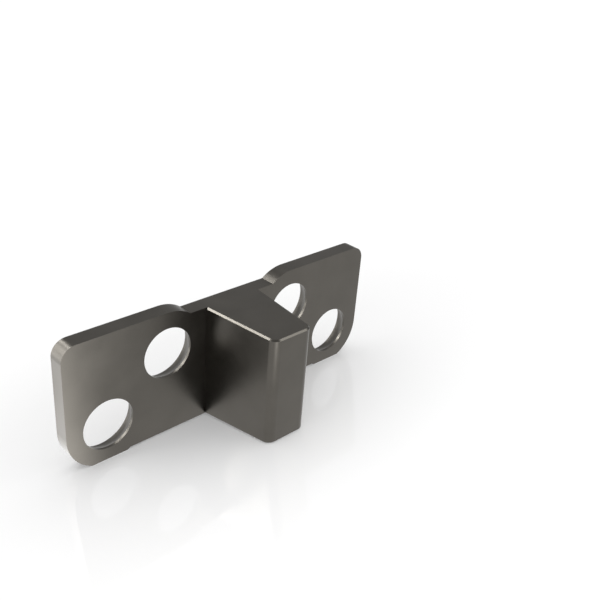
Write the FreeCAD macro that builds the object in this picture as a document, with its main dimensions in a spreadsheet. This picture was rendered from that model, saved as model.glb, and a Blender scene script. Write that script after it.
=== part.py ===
import FreeCAD, Part
import math
import os
import Sketcher

# Opening-wedge osteotomy plate: a flat four-hole plate with a tapered spacer block on its bone side.
# The body is drawn with X along the plate, Z up it and Y through it. The bone side is the plane
# Y = 0, the outer face looks along +Y, and the block stands out of the bone side along -Y.
# Lengths are in millimetres.

driving_sizes = {
    "plate_length": 47.0,
    "plate_thickness": 2.2,
    "waist_top": 15.7,
    "waist_bottom": 0.25,
    "ear_radius": 5.4,
    "corner_radius": 1.9,
    "upper_hole_offset": 9.8,
    "upper_hole_height": 11.4,
    "lower_hole_height": 4.85,
    "screw_hole_diameter": 6.6,
    "screw_hole_land": 0.35,
    "seat_sphere_diameter": 8.2,
    "holder_hole_diameter": 4.2,
    "holder_hole_depth": 8.0,
    "block_root_width": 8.4,
    "block_tip_width": 5.9,
    "block_depth": 11.0,
    "block_tip_rise": 1.15,
    "block_corner_radius": 1.1,
    "block_edge_break": 0.2,
    "edge_break": 0.1,
}

# How far a cutting profile reaches past the faces that it cuts.
cut_margin = 1.0
# How near two coordinates are to count as the same when edges are picked.
match_tolerance = 0.001
drill_point_angle = 118.0

doc = FreeCAD.newDocument("osteotomy_plate")
sheet = doc.addObject("Spreadsheet::Sheet", "dims")
for row, (alias, value) in enumerate(driving_sizes.items(), start=1):
    sheet.set("A%d" % row, alias)
    sheet.set("B%d" % row, str(value))
    sheet.setAlias("B%d" % row, alias)
doc.recompute()

size = {alias: sheet.get(alias) for alias in driving_sizes}

# Places in a sketch, as the numbers that a constraint takes: its origin, its two axes, and the
# points of a line or arc. A whole line or arc is just its own number.
def origin_point():
    return (-1, 1)


def level_axis():
    return (-1,)


def upright_axis():
    return (-2,)


def start_of(item):
    return (item, 1)


def end_of(item):
    return (item, 2)


def centre_of(item):
    return (item, 3)


def place_numbers(places):
    numbers = []
    for place in places:
        numbers.extend(place if isinstance(place, tuple) else (place,))
    return numbers


def origin_plane(body, role):
    return next(item for item in body.Origin.OriginFeatures if item.Role == role)


def add_sketch(body, name, role, offset_formula=None):
    sketch = body.newObject("Sketcher::SketchObject", name)
    sketch.AttachmentSupport = [(origin_plane(body, role), "")]
    sketch.MapMode = "FlatFace"
    if offset_formula:
        sketch.setExpression("AttachmentOffset.Base.z", offset_formula)
    return sketch


def line(sketch, first, second):
    return sketch.addGeometry(Part.LineSegment(FreeCAD.Vector(*first, 0), FreeCAD.Vector(*second, 0)))


def arc(sketch, middle, radius, first_angle, last_angle):
    circle = Part.Circle(FreeCAD.Vector(*middle, 0), FreeCAD.Vector(0, 0, 1), radius)
    return sketch.addGeometry(Part.ArcOfCircle(circle, first_angle, last_angle))


def relate(sketch, kind, *places):
    sketch.addConstraint(Sketcher.Constraint(kind, *place_numbers(places)))


def hold(sketch, kind, places, value):
    return sketch.addConstraint(Sketcher.Constraint(kind, *place_numbers(places), value))


def bind(sketch, name, kind, places, value, formula):
    sketch.renameConstraint(hold(sketch, kind, places, value), name)
    sketch.setExpression("Constraints." + name, formula)


def close_loop(sketch, *items):
    for first, second in zip(items, items[1:] + items[:1]):
        relate(sketch, "Coincident", end_of(first), start_of(second))


def half_outline(body):
    # The right half: waist top, shoulder round the upper hole, ear top, corner, end, lower corner
    # round the lower hole, ear bottom, the small step up to the waist bottom, and the middle line.
    sketch = add_sketch(body, "half_outline", "XZ_Plane")
    half_length = size["plate_length"] / 2
    radius = size["ear_radius"]
    upper = (size["upper_hole_offset"], size["upper_hole_height"])
    lower = (half_length - radius, size["lower_hole_height"])
    top = size["waist_top"]
    bottom = size["waist_bottom"]
    ear_top = upper[1] + radius
    corner = size["corner_radius"]

    shoulder_angle = math.pi - math.asin((top - upper[1]) / radius)
    foot_angle = math.asin(lower[1] / radius)
    step_angle = math.asin((lower[1] - bottom) / radius)
    shoulder = (upper[0] + radius * math.cos(shoulder_angle), top)
    foot_out = (lower[0] + radius * math.cos(foot_angle), 0)
    foot_in = (lower[0] - radius * math.cos(foot_angle), 0)
    step_in = (lower[0] - radius * math.cos(step_angle), bottom)

    waist_line = line(sketch, (0, top), shoulder)
    shoulder_arc = arc(sketch, upper, radius, math.pi / 2, shoulder_angle)
    ear_line = line(sketch, (upper[0], ear_top), (half_length - corner, ear_top))
    corner_arc = arc(sketch, (half_length - corner, ear_top - corner), corner, 0, math.pi / 2)
    end_line = line(sketch, (half_length, ear_top - corner), (half_length, lower[1]))
    lower_arc = arc(sketch, lower, radius, -foot_angle, 0)
    foot_line = line(sketch, foot_out, foot_in)
    step_arc = arc(sketch, lower, radius, math.pi + step_angle, math.pi + foot_angle)
    bottom_line = line(sketch, step_in, (0, bottom))
    middle_line = line(sketch, (0, bottom), (0, top))

    for level in (waist_line, ear_line, foot_line, bottom_line):
        relate(sketch, "Horizontal", level)
    for upright in (end_line, middle_line):
        relate(sketch, "Vertical", upright)
    relate(sketch, "Coincident", end_of(middle_line), start_of(waist_line))
    relate(sketch, "Coincident", end_of(waist_line), end_of(shoulder_arc))
    relate(sketch, "Tangent", start_of(shoulder_arc), start_of(ear_line))
    relate(sketch, "Tangent", end_of(ear_line), end_of(corner_arc))
    relate(sketch, "Tangent", start_of(corner_arc), start_of(end_line))
    relate(sketch, "Tangent", end_of(end_line), end_of(lower_arc))
    relate(sketch, "Coincident", start_of(lower_arc), start_of(foot_line))
    relate(sketch, "Coincident", end_of(foot_line), end_of(step_arc))
    relate(sketch, "Coincident", start_of(step_arc), start_of(bottom_line))
    relate(sketch, "Coincident", end_of(bottom_line), start_of(middle_line))
    relate(sketch, "PointOnObject", start_of(middle_line), upright_axis())
    relate(sketch, "PointOnObject", start_of(foot_line), level_axis())
    relate(sketch, "Coincident", centre_of(step_arc), centre_of(lower_arc))
    relate(sketch, "Equal", shoulder_arc, lower_arc)
    relate(sketch, "Equal", lower_arc, step_arc)

    bind(sketch, "half_length", "DistanceX", (origin_point(), start_of(end_line)), half_length,
         "dims.plate_length / 2")
    bind(sketch, "waist_top", "DistanceY", (origin_point(), start_of(waist_line)), top, "dims.waist_top")
    bind(sketch, "waist_bottom", "DistanceY", (origin_point(), end_of(bottom_line)), bottom,
         "dims.waist_bottom")
    bind(sketch, "ear_radius", "Radius", (shoulder_arc,), radius, "dims.ear_radius")
    bind(sketch, "corner_radius", "Radius", (corner_arc,), corner, "dims.corner_radius")
    bind(sketch, "upper_offset", "DistanceX", (origin_point(), centre_of(shoulder_arc)), upper[0],
         "dims.upper_hole_offset")
    bind(sketch, "upper_height", "DistanceY", (origin_point(), centre_of(shoulder_arc)), upper[1],
         "dims.upper_hole_height")
    bind(sketch, "lower_height", "DistanceY", (origin_point(), centre_of(lower_arc)), lower[1],
         "dims.lower_hole_height")
    return sketch


def screw_seat(body, name, offset, offset_formula, height_formula):
    # A screw hole turned about its own axis: a short round land at the bone side, a ball seat for
    # the screw head up to the outer face, and a broken edge round the rim.
    sketch = add_sketch(body, name + "_profile", "XY_Plane", height_formula)
    thickness = size["plate_thickness"]
    rim_break = size["edge_break"]
    hole = size["screw_hole_diameter"] / 2
    ball = size["seat_sphere_diameter"] / 2
    land = size["screw_hole_land"]
    ball_middle = land + math.sqrt(ball**2 - hole**2)
    rim = math.sqrt(ball**2 - (ball_middle - thickness + rim_break)**2)
    mouth = rim + rim_break
    low = -cut_margin
    high = thickness + cut_margin

    low_line = line(sketch, (offset, low), (offset + hole, low))
    land_line = line(sketch, (offset + hole, low), (offset + hole, land))
    seat_arc = arc(sketch, (offset, ball_middle), ball, -math.acos(hole / ball), -math.acos(rim / ball))
    break_line = line(sketch, (offset + rim, thickness - rim_break), (offset + mouth, thickness))
    mouth_line = line(sketch, (offset + mouth, thickness), (offset + mouth, high))
    high_line = line(sketch, (offset + mouth, high), (offset, high))
    axis_line = line(sketch, (offset, high), (offset, low))

    close_loop(sketch, low_line, land_line, seat_arc, break_line, mouth_line, high_line, axis_line)
    for level in (low_line, high_line):
        relate(sketch, "Horizontal", level)
    for upright in (land_line, mouth_line, axis_line):
        relate(sketch, "Vertical", upright)
    relate(sketch, "PointOnObject", centre_of(seat_arc), axis_line)

    hold(sketch, "DistanceY", (start_of(low_line), origin_point()), cut_margin)
    hold(sketch, "DistanceY", (start_of(mouth_line), end_of(mouth_line)), cut_margin)
    bind(sketch, "offset", "DistanceX", (origin_point(), start_of(axis_line)), offset, offset_formula)
    bind(sketch, "hole_radius", "DistanceX", (start_of(low_line), end_of(low_line)), hole,
         "dims.screw_hole_diameter / 2")
    bind(sketch, "land", "DistanceY", (origin_point(), end_of(land_line)), land, "dims.screw_hole_land")
    bind(sketch, "ball_radius", "Radius", (seat_arc,), ball, "dims.seat_sphere_diameter / 2")
    bind(sketch, "outer_face", "DistanceY", (origin_point(), start_of(mouth_line)), thickness,
         "dims.plate_thickness")
    bind(sketch, "break_height", "DistanceY", (start_of(break_line), end_of(break_line)), rim_break,
         "dims.edge_break")
    bind(sketch, "break_width", "DistanceX", (start_of(break_line), end_of(break_line)), rim_break,
         "dims.edge_break")

    seat = body.newObject("PartDesign::Groove", name)
    seat.Profile = sketch
    seat.ReferenceAxis = (sketch, ["Edge%d" % (axis_line + 1)])
    seat.Angle = 360
    return seat


def block_plan(body):
    # Half of the block from above, at the height of the waist's top. Its root is in the bone side.
    sketch = add_sketch(body, "block_plan", "XY_Plane", "dims.waist_top")
    root = size["block_root_width"] / 2
    tip = size["block_tip_width"] / 2
    depth = size["block_depth"]
    root_line = line(sketch, (0, 0), (root, 0))
    flank_line = line(sketch, (root, 0), (tip, -depth))
    tip_line = line(sketch, (tip, -depth), (0, -depth))
    middle_line = line(sketch, (0, -depth), (0, 0))
    close_loop(sketch, root_line, flank_line, tip_line, middle_line)
    for level in (root_line, tip_line):
        relate(sketch, "Horizontal", level)
    relate(sketch, "Vertical", middle_line)
    relate(sketch, "Coincident", start_of(root_line), origin_point())
    bind(sketch, "root", "DistanceX", (origin_point(), end_of(root_line)), root,
         "dims.block_root_width / 2")
    bind(sketch, "tip", "DistanceX", (origin_point(), start_of(tip_line)), tip,
         "dims.block_tip_width / 2")
    bind(sketch, "depth", "DistanceY", (start_of(middle_line), origin_point()), depth,
         "dims.block_depth")
    return sketch


def block_underside(body):
    # What is cut away under the block, from the side: its bottom rises from the root to the tip.
    sketch = add_sketch(body, "block_underside", "YZ_Plane")
    root_low = size["waist_bottom"]
    tip_low = size["block_tip_rise"]
    depth = size["block_depth"]
    rise_line = line(sketch, (0, root_low), (-depth, tip_low))
    tip_line = line(sketch, (-depth, tip_low), (-depth, root_low))
    low_line = line(sketch, (-depth, root_low), (0, root_low))
    close_loop(sketch, rise_line, tip_line, low_line)
    relate(sketch, "PointOnObject", start_of(rise_line), upright_axis())
    relate(sketch, "Vertical", tip_line)
    relate(sketch, "Horizontal", low_line)
    bind(sketch, "root_low", "DistanceY", (origin_point(), start_of(rise_line)), root_low,
         "dims.waist_bottom")
    bind(sketch, "tip_low", "DistanceY", (origin_point(), end_of(rise_line)), tip_low,
         "dims.block_tip_rise")
    bind(sketch, "depth", "DistanceX", (end_of(rise_line), origin_point()), depth,
         "dims.block_depth")
    return sketch


def pick_edges(shape, wanted):
    return ["Edge%d" % number for number, edge in enumerate(shape.Edges, start=1) if wanted(edge)]


def ends_match(edge, test):
    return all(test(vertex.Point) for vertex in edge.Vertexes)


body = doc.addObject("PartDesign::Body", "Body")
body.Label = "osteotomy_plate"

# Everything but the holder hole is made as a right half, which is mirrored. First comes half of the
# spacer block: a wedge in plan whose bottom rises towards its tip.
half_block = body.newObject("PartDesign::Pad", "half_block")
half_block.Profile = block_plan(body)
half_block.Reversed = True
half_block.setExpression("Length", "dims.waist_top - dims.waist_bottom")
doc.recompute()
full_volume = half_block.Shape.Volume

rising_bottom = body.newObject("PartDesign::Pocket", "rising_bottom")
rising_bottom.Profile = block_underside(body)
rising_bottom.Type = "ThroughAll"
rising_bottom.SideType = "Symmetric"
doc.recompute()
if rising_bottom.Shape.Volume >= full_volume:
    raise RuntimeError("the underside of the block was not cut")


def near(first, second):
    return abs(first - second) < match_tolerance


def is_upright(edge):
    first, last = edge.Vertexes[0], edge.Vertexes[-1]
    return near(first.X, last.X) and near(first.Y, last.Y)


def in_middle(point):
    return near(point.x, 0)


def in_bone_side(point):
    return near(point.y, 0)


def at_block_tip(point):
    return near(point.y, -size["block_depth"])


def is_tip_corner(edge):
    return is_upright(edge) and ends_match(edge, at_block_tip) and not ends_match(edge, in_middle)


def is_block_rim(edge):
    cut_side = ends_match(edge, in_middle) or ends_match(edge, in_bone_side)
    return not is_upright(edge) and not cut_side


tip_corner = body.newObject("PartDesign::Fillet", "tip_corner")
tip_corner.Base = (rising_bottom, pick_edges(rising_bottom.Shape, is_tip_corner))
tip_corner.setExpression("Radius", "dims.block_corner_radius")
doc.recompute()

block_break = body.newObject("PartDesign::Chamfer", "block_break")
block_break.Base = (tip_corner, pick_edges(tip_corner.Shape, is_block_rim))
block_break.setExpression("Size", "dims.block_edge_break")
doc.recompute()

# Half of the plate stands behind it, with its broken outer edge and its two screw holes.
half_plate = body.newObject("PartDesign::Pad", "half_plate")
half_plate.Profile = half_outline(body)
half_plate.setExpression("Length", "dims.plate_thickness")
half_plate.Reversed = True
doc.recompute()


def on_outer_face(point):
    return near(point.y, size["plate_thickness"])


def is_outer_rim(edge):
    return ends_match(edge, on_outer_face) and not ends_match(edge, in_middle)


outer_break = body.newObject("PartDesign::Chamfer", "outer_break")
outer_break.Base = (half_plate, pick_edges(half_plate.Shape, is_outer_rim))
outer_break.setExpression("Size", "dims.edge_break")
doc.recompute()

upper_seat = screw_seat(body, "upper_seat", size["upper_hole_offset"], "dims.upper_hole_offset",
                        "dims.upper_hole_height")
lower_seat = screw_seat(body, "lower_seat", size["plate_length"] / 2 - size["ear_radius"],
                        "dims.plate_length / 2 - dims.ear_radius", "dims.lower_hole_height")
doc.recompute()

both_halves = body.newObject("PartDesign::Mirrored", "both_halves")
both_halves.TransformMode = "Whole shape"
both_halves.MirrorPlane = (origin_plane(body, "YZ_Plane"), [""])
body.Tip = both_halves
doc.recompute()

# Blind hole for the plate holder, drilled from the outer face into the block, midway between the
# two rows of screw holes.
holder_place = add_sketch(body, "holder_place", "XZ_Plane", "-dims.plate_thickness")
holder_height = (size["upper_hole_height"] + size["lower_hole_height"]) / 2
holder_circle = holder_place.addGeometry(
    Part.Circle(FreeCAD.Vector(0, holder_height, 0), FreeCAD.Vector(0, 0, 1),
                size["holder_hole_diameter"] / 2))
relate(holder_place, "PointOnObject", centre_of(holder_circle), upright_axis())
bind(holder_place, "height", "DistanceY", (origin_point(), centre_of(holder_circle)), holder_height,
     "(dims.upper_hole_height + dims.lower_hole_height) / 2")
bind(holder_place, "diameter", "Diameter", (holder_circle,), size["holder_hole_diameter"],
     "dims.holder_hole_diameter")
doc.recompute()

holder_hole = body.newObject("PartDesign::Hole", "holder_hole")
holder_hole.Profile = holder_place
doc.recompute()
holder_hole.Reversed = True
holder_hole.DepthType = "Dimension"
holder_hole.HoleCutType = "Countersink"
holder_hole.DrillPoint = "Angled"
holder_hole.DrillPointAngle = drill_point_angle
holder_hole.setExpression("Diameter", "dims.holder_hole_diameter")
holder_hole.setExpression("Depth", "dims.holder_hole_depth")
holder_hole.setExpression("HoleCutDiameter", "dims.holder_hole_diameter + 2 * dims.edge_break")
doc.recompute()

# The plate stands on the edges of its two feet and leans until the block's tip touches down.
tip_points = [vertex.Point for vertex in body.Shape.Vertexes if vertex.Y < -size["block_depth"] / 2]
lean = math.degrees(min(math.atan2(point.z, -point.y) for point in tip_points))
leaning = FreeCAD.Rotation(FreeCAD.Vector(1, 0, 0), lean)
body.Placement = FreeCAD.Placement(FreeCAD.Vector(0, 0, 0), leaning)
doc.recompute()
box = body.Shape.optimalBoundingBox(False)
body.Placement = FreeCAD.Placement(FreeCAD.Vector(0, -box.Center.y, 0), leaning)
doc.recompute()

for item in doc.Objects:
    if "Invalid" in item.State or "Error" in item.State:
        raise RuntimeError("%s did not rebuild: %s" % (item.Name, item.State))
if body.Shape.isNull() or not body.Shape.isValid() or len(body.Shape.Solids) != 1:
    raise RuntimeError("the plate is not one valid solid")

os.makedirs("parts", exist_ok=True)
body.Shape.exportStep("parts/%s.step" % body.Label)
box = body.Shape.optimalBoundingBox(False)
print("lean %.3f degrees, volume %.2f mm3" % (lean, body.Shape.Volume))
print("box %.3f %.3f %.3f to %.3f %.3f %.3f"
      % (box.XMin, box.YMin, box.ZMin, box.XMax, box.YMax, box.ZMax))
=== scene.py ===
import math

import bpy
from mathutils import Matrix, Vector

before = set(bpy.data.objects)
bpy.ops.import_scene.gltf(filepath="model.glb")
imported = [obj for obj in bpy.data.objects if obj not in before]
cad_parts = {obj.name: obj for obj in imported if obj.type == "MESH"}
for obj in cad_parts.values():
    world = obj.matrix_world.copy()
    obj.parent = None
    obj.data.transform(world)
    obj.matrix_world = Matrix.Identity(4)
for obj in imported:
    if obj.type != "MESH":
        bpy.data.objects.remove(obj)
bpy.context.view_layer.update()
print("plate loaded:", ", ".join(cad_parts))

mmPerMetre = 1000


def metres(valuesMm):
    return Vector(valuesMm) / mmPerMetre


def addNode(tree, kind, **inputs):
    # An underscore in an input's name stands for a space
    node = tree.nodes.new(kind)
    for name, value in inputs.items():
        node.inputs[name.replace("_", " ")].default_value = value
    return node


def joinNumbers(tree, operation, first, second):
    # Each of the two is a socket or a number
    node = addNode(tree, "ShaderNodeMath")
    node.operation = operation
    for place, value in enumerate((first, second)):
        if isinstance(value, (int, float)):
            node.inputs[place].default_value = value
        else:
            tree.links.new(value, node.inputs[place])
    return node.outputs[0]


def changeVector(tree, operation, vector, fixedVector=(0, 0, 0)):
    node = addNode(tree, "ShaderNodeVectorMath")
    node.operation = operation
    node.inputs[1].default_value = fixedVector
    tree.links.new(vector, node.inputs[0])
    return node


def smoothRamp(tree, value, start, full):
    # From 0 at the start to 1 where it is full
    ramp = addNode(tree, "ShaderNodeMapRange", From_Min=start, From_Max=full)
    ramp.interpolation_type = "SMOOTHSTEP"
    tree.links.new(value, ramp.inputs["Value"])
    return ramp.outputs["Result"]


def mixShaders(tree, share, first, second):
    mix = addNode(tree, "ShaderNodeMixShader")
    tree.links.new(share, mix.inputs["Fac"])
    tree.links.new(first, mix.inputs[1])
    tree.links.new(second, mix.inputs[2])
    return mix.outputs[0]


# Bead-blasted, dark grey implant metal. Its sizes say how often a pattern repeats in a metre.
implantMetal = {
    "colour": (0.113, 0.1055, 0.0935),
    "colourShift": 0.06,            # share by which the tone drifts over the surface
    "driftSize": 260.0,
    "driftDetail": 3.0,
    "driftCoarseness": 0.5,
    "driftEnds": (0.3, 0.7),        # where the drift's pattern is darkest and lightest
    "roughness": 0.33,
    "roughnessShift": 0.03,
    "grainSize": 9000.0,
    "grainCoarseness": 0.6,
    "grainDepthMm": 0.0012,
    "blastSize": 2600.0,
    "blastCoarseness": 0.5,
    "blastDepthMm": 0.0015,
    "fineDetail": 2.0,              # for the grain and the blasted dimples
}


def makeImplantMetal(look):
    material = bpy.data.materials.new("implantMetal")
    material.use_nodes = True
    tree = material.node_tree
    tree.nodes.clear()
    link = tree.links.new
    surface = addNode(tree, "ShaderNodeBsdfPrincipled", Metallic=1.0)
    output = addNode(tree, "ShaderNodeOutputMaterial")
    place = addNode(tree, "ShaderNodeTexCoord")

    # A slow drift of tone, as blasting leaves it
    drift = addNode(tree, "ShaderNodeTexNoise", Scale=look["driftSize"],
                    Detail=look["driftDetail"], Roughness=look["driftCoarseness"])
    darkest, lightest = look["driftEnds"]
    tone = addNode(tree, "ShaderNodeValToRGB")
    low, high = tone.color_ramp.elements
    low.position, high.position = darkest, lightest
    low.color = (*[c * (1 - look["colourShift"]) for c in look["colour"]], 1)
    high.color = (*[c * (1 + look["colourShift"]) for c in look["colour"]], 1)

    # Roughness follows the same drift
    patch = addNode(tree, "ShaderNodeMapRange", From_Min=darkest, From_Max=lightest,
                    To_Min=look["roughness"] - look["roughnessShift"],
                    To_Max=look["roughness"] + look["roughnessShift"])

    # Fine blasted grain over softer dimples
    grain = addNode(tree, "ShaderNodeTexNoise", Scale=look["grainSize"],
                    Detail=look["fineDetail"], Roughness=look["grainCoarseness"])
    dimples = addNode(tree, "ShaderNodeTexNoise", Scale=look["blastSize"],
                      Detail=look["fineDetail"], Roughness=look["blastCoarseness"])
    dimpleBump = addNode(tree, "ShaderNodeBump", Strength=1.0,
                         Distance=look["blastDepthMm"] / mmPerMetre)
    grainBump = addNode(tree, "ShaderNodeBump", Strength=1.0,
                        Distance=look["grainDepthMm"] / mmPerMetre)

    for noise in (drift, grain, dimples):
        link(place.outputs["Object"], noise.inputs["Vector"])
    link(drift.outputs["Fac"], tone.inputs["Fac"])
    link(drift.outputs["Fac"], patch.inputs["Value"])
    link(tone.outputs["Color"], surface.inputs["Base Color"])
    link(patch.outputs["Result"], surface.inputs["Roughness"])
    link(dimples.outputs["Fac"], dimpleBump.inputs["Height"])
    link(grain.outputs["Fac"], grainBump.inputs["Height"])
    link(dimpleBump.outputs["Normal"], grainBump.inputs["Normal"])
    link(grainBump.outputs["Normal"], surface.inputs["Normal"])
    link(surface.outputs["BSDF"], output.inputs["Surface"])
    return material


def dressPlate():
    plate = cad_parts["osteotomy_plate"]
    metal = makeImplantMetal(implantMetal)
    plate.data.materials.clear()
    plate.data.materials.append(metal)
    print("plate dressed:", len(plate.data.polygons), "faces")


whiteFloor = {
    "sizeM": 6.0,
    "colour": (0.84, 0.84, 0.84),
    "roughness": 0.03,
    "ior": 1.80,
    # The glow is weaker near the plate, which paints shade on the floor around it
    "glowForCamera": 0.20,              # near the plate
    "farGlowForCamera": 0.5,            # beyond the last of the next two distances
    "glowFadeMm": (14.0, 80.0),
    "glowMiddleMm": (5.0, 12.0, 0.0),
    "glowStretch": (0.45, 1.0, 1.0),    # the distances count less along the plate
    "whiteForMetal": 1.0,               # how bright the metal sees the floor
    "firstBounceBelow": 1.5,            # ray depth under which a reflection is a first one
}

# A painted pool of light: a glow on the floor beyond the plate's left end, which only the metal
# shows, as a painted reflection.
paintedLightPool = {
    "gain": 3.1,
    "edgeMm": (-15.0, -24.0),       # where it starts and where it is full, along X
    "slant": 0.4,                   # how far the edge turns with Y
    "middleMm": (-28.0, 10.0, 0.0),
    "fadeMm": (300.0, 2500.0),      # it fades out between these distances from its middle
    "shownTo": (0.65, 0.25),        # how far to its right a face may stand and still see it
    "shownLow": (0.30, 0.10),       # unless it sees the floor as low as this
}


def cameraGlow(tree, look, path):
    # A glow that only the camera sees, stronger away from the plate, so that the floor is
    # painted darker around the plate as painted shade
    place = addNode(tree, "ShaderNodeTexCoord").outputs["Object"]
    away = changeVector(tree, "SUBTRACT", place, metres(look["glowMiddleMm"]))
    stretched = changeVector(tree, "MULTIPLY", away.outputs["Vector"], look["glowStretch"])
    distance = changeVector(tree, "LENGTH", stretched.outputs["Vector"])
    near, far = metres(look["glowFadeMm"])
    spread = addNode(tree, "ShaderNodeMapRange", From_Min=near, From_Max=far,
                     To_Min=look["glowForCamera"], To_Max=look["farGlowForCamera"])
    tree.links.new(distance.outputs["Value"], spread.inputs["Value"])
    strength = joinNumbers(tree, "MULTIPLY",
                           path.outputs["Is Camera Ray"], spread.outputs["Result"])
    glow = addNode(tree, "ShaderNodeEmission", Color=(1, 1, 1, 1))
    tree.links.new(strength, glow.inputs["Strength"])
    return glow.outputs[0]


def metalView(tree, look, pool):
    # What the metal sees of the floor: plain white, with the painted pool of light beyond the
    # left end, a glow that is no lamp
    place = addNode(tree, "ShaderNodeTexCoord").outputs["Object"]
    across = changeVector(tree, "DOT_PRODUCT", place, (1, pool["slant"], 0))
    away = changeVector(tree, "DISTANCE", place, metres(pool["middleMm"]))
    start, full = metres(pool["edgeMm"])
    near, far = metres(pool["fadeMm"])
    # where the painted pool of light lies on the floor
    paintedPoolArea = joinNumbers(tree, "MULTIPLY",
                      smoothRamp(tree, across.outputs["Value"], start, full),
                      smoothRamp(tree, away.outputs["Value"], far, near))

    # The painted pool is shown only to faces on its left or low down, by the direction it is
    # seen from, so that faces far to its right don't show it
    seen = addNode(tree, "ShaderNodeSeparateXYZ")
    tree.links.new(addNode(tree, "ShaderNodeNewGeometry").outputs["Incoming"], seen.inputs[0])
    shown = joinNumbers(tree, "MAXIMUM",
                        smoothRamp(tree, seen.outputs["X"], *pool["shownTo"]),
                        smoothRamp(tree, seen.outputs["Z"], *pool["shownLow"]))

    paintedPoolShown = joinNumbers(tree, "MULTIPLY", paintedPoolArea, shown)
    # strength of the painted glow that the metal shows as a painted reflection
    gained = joinNumbers(tree, "MULTIPLY", paintedPoolShown, pool["gain"])
    strength = joinNumbers(tree, "ADD", gained, look["whiteForMetal"])
    white = addNode(tree, "ShaderNodeEmission", Color=(1, 1, 1, 1))
    tree.links.new(strength, white.inputs["Strength"])
    return white.outputs[0]


def makeFloorMaterial(look, pool):
    material = bpy.data.materials.new("whiteFloor")
    material.use_nodes = True
    tree = material.node_tree
    tree.nodes.clear()
    path = addNode(tree, "ShaderNodeLightPath")
    acrylic = addNode(tree, "ShaderNodeBsdfPrincipled", Base_Color=(*look["colour"], 1),
                      Roughness=look["roughness"], IOR=look["ior"])
    glowing = addNode(tree, "ShaderNodeAddShader")
    tree.links.new(acrylic.outputs["BSDF"], glowing.inputs[0])
    tree.links.new(cameraGlow(tree, look, path), glowing.inputs[1])

    # Only a first reflection shows the white; a second one sees the floor with its shadow
    firstBounce = joinNumbers(tree, "LESS_THAN",
                              path.outputs["Ray Depth"], look["firstBounceBelow"])
    reflected = joinNumbers(tree, "MULTIPLY", path.outputs["Is Glossy Ray"], firstBounce)
    surface = mixShaders(tree, reflected, glowing.outputs[0], metalView(tree, look, pool))
    output = addNode(tree, "ShaderNodeOutputMaterial")
    tree.links.new(surface, output.inputs["Surface"])
    return material


def makeFloor(look, pool):
    half = look["sizeM"] / 2
    corners = [(-half, -half, 0), (half, -half, 0), (half, half, 0), (-half, half, 0)]
    mesh = bpy.data.meshes.new("floor")
    mesh.from_pydata(corners, [], [(0, 1, 2, 3)])
    mesh.materials.append(makeFloorMaterial(look, pool))
    floor = bpy.data.objects.new("floor", mesh)
    bpy.context.scene.collection.objects.link(floor)
    print("floor laid:", look["sizeM"], "m square")


# The white room: what reaches the floor, what the camera sees, and what metal and floor mirror.
studioWorld = {
    "fill": 1.0,
    "backdrop": 1.0,
    "forMetal": 0.44,
}


def makeWorld(look):
    world = bpy.data.worlds.new("studioWorld")
    bpy.context.scene.world = world
    world.use_nodes = True
    tree = world.node_tree
    tree.nodes.clear()
    path = addNode(tree, "ShaderNodeLightPath")
    fill, backdrop, forMetal = (
        addNode(tree, "ShaderNodeBackground", Color=(1, 1, 1, 1), Strength=look[name]).outputs[0]
        for name in ("fill", "backdrop", "forMetal"))
    offCamera = mixShaders(tree, path.outputs["Is Glossy Ray"], fill, forMetal)
    room = mixShaders(tree, path.outputs["Is Camera Ray"], offCamera, backdrop)
    output = addNode(tree, "ShaderNodeOutputWorld")
    tree.links.new(room, output.inputs["Surface"])
    print("world set: fill", look["fill"])


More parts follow.
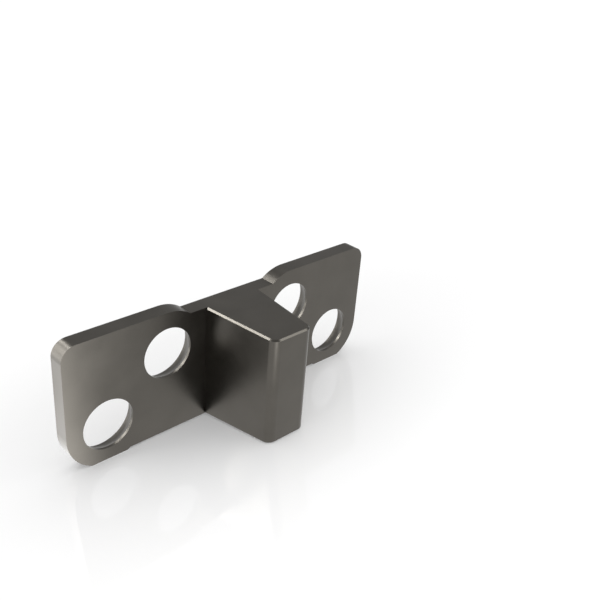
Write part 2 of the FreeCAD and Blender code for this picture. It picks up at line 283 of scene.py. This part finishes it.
# All the boxes face one point. Each has its middle, its width and height, and its power.
softBoxes = {
    "aimMm": (0, 0, 8),
    "boxes": {
        "frontEdgeBox": {"placeMm": (286, -286, 302), "sizeMm": (220, 220), "watts": 0.46},
        "topBox": {"placeMm": (203, 117, 449), "sizeMm": (220, 220), "watts": 0.22},
        "backWideBox": {"placeMm": (-197, 341, 316), "sizeMm": (220, 220), "watts": 0.33},
        "edgeBox": {"placeMm": (-276, 231, 355), "sizeMm": (100, 100), "watts": 0.48},
        "lowBox": {"placeMm": (-320, 381, 60), "sizeMm": (100, 100), "watts": 0.2},
        "backLowBox": {"placeMm": (-293, 375, 163), "sizeMm": (100, 100), "watts": 0.13},
        "backLeftBox": {"placeMm": (-267, 341, 258), "sizeMm": (100, 100), "watts": 0.053},
        "backHighBox": {"placeMm": (-59, 336, 374), "sizeMm": (100, 100), "watts": 0.30},
        "leftTallBox": {"placeMm": (-332, 278, 258), "sizeMm": (100, 220), "watts": 0.36},
    },
}


def makeSoftBoxes(looks):
    for name, look in looks["boxes"].items():
        light = bpy.data.lights.new(name, "AREA")
        light.shape = "RECTANGLE"
        light.size, light.size_y = metres(look["sizeMm"])
        light.energy = look["watts"]
        lamp = bpy.data.objects.new(name, light)
        lamp.location = metres(look["placeMm"])
        facing = metres(looks["aimMm"]) - lamp.location
        lamp.rotation_euler = facing.to_track_quat("-Z", "Y").to_euler()
        lamp.visible_diffuse = False    # it shows in the metal; the world lights the floor
        bpy.context.scene.collection.objects.link(lamp)
    print("soft boxes hung:", len(looks["boxes"]))


# The camera stands in front of the bone side, to its left, and looks down on the plate.
photoCamera = {
    "placeMm": (-57.61, -68.23, 55.22),
    "turnDeg": 43.856,      # to the right of +Y
    "tiltDeg": -23.507,     # below the horizon
    "lensMm": 48.66,
    "sensorMm": 36.0,
    "nearestMm": 1.0,       # what is closer isn't seen
}


def makeCamera(look):
    lens = bpy.data.cameras.new("photoCamera")
    lens.sensor_width = look["sensorMm"]
    lens.lens = look["lensMm"]
    lens.clip_start = look["nearestMm"] / mmPerMetre
    camera = bpy.data.objects.new("photoCamera", lens)
    camera.location = metres(look["placeMm"])
    camera.rotation_euler = (math.radians(90 + look["tiltDeg"]), 0,
                             math.radians(-look["turnDeg"]))
    bpy.context.scene.collection.objects.link(camera)
    bpy.context.scene.camera = camera
    print("camera set:", look["lensMm"], "mm lens")


dressPlate()
# the floor carries the painted pool of light, a glow that only the metal reflects
makeFloor(whiteFloor, paintedLightPool)
makeWorld(studioWorld)
makeSoftBoxes(softBoxes)
makeCamera(photoCamera)
bpy.context.scene.view_settings.view_transform = "Standard"
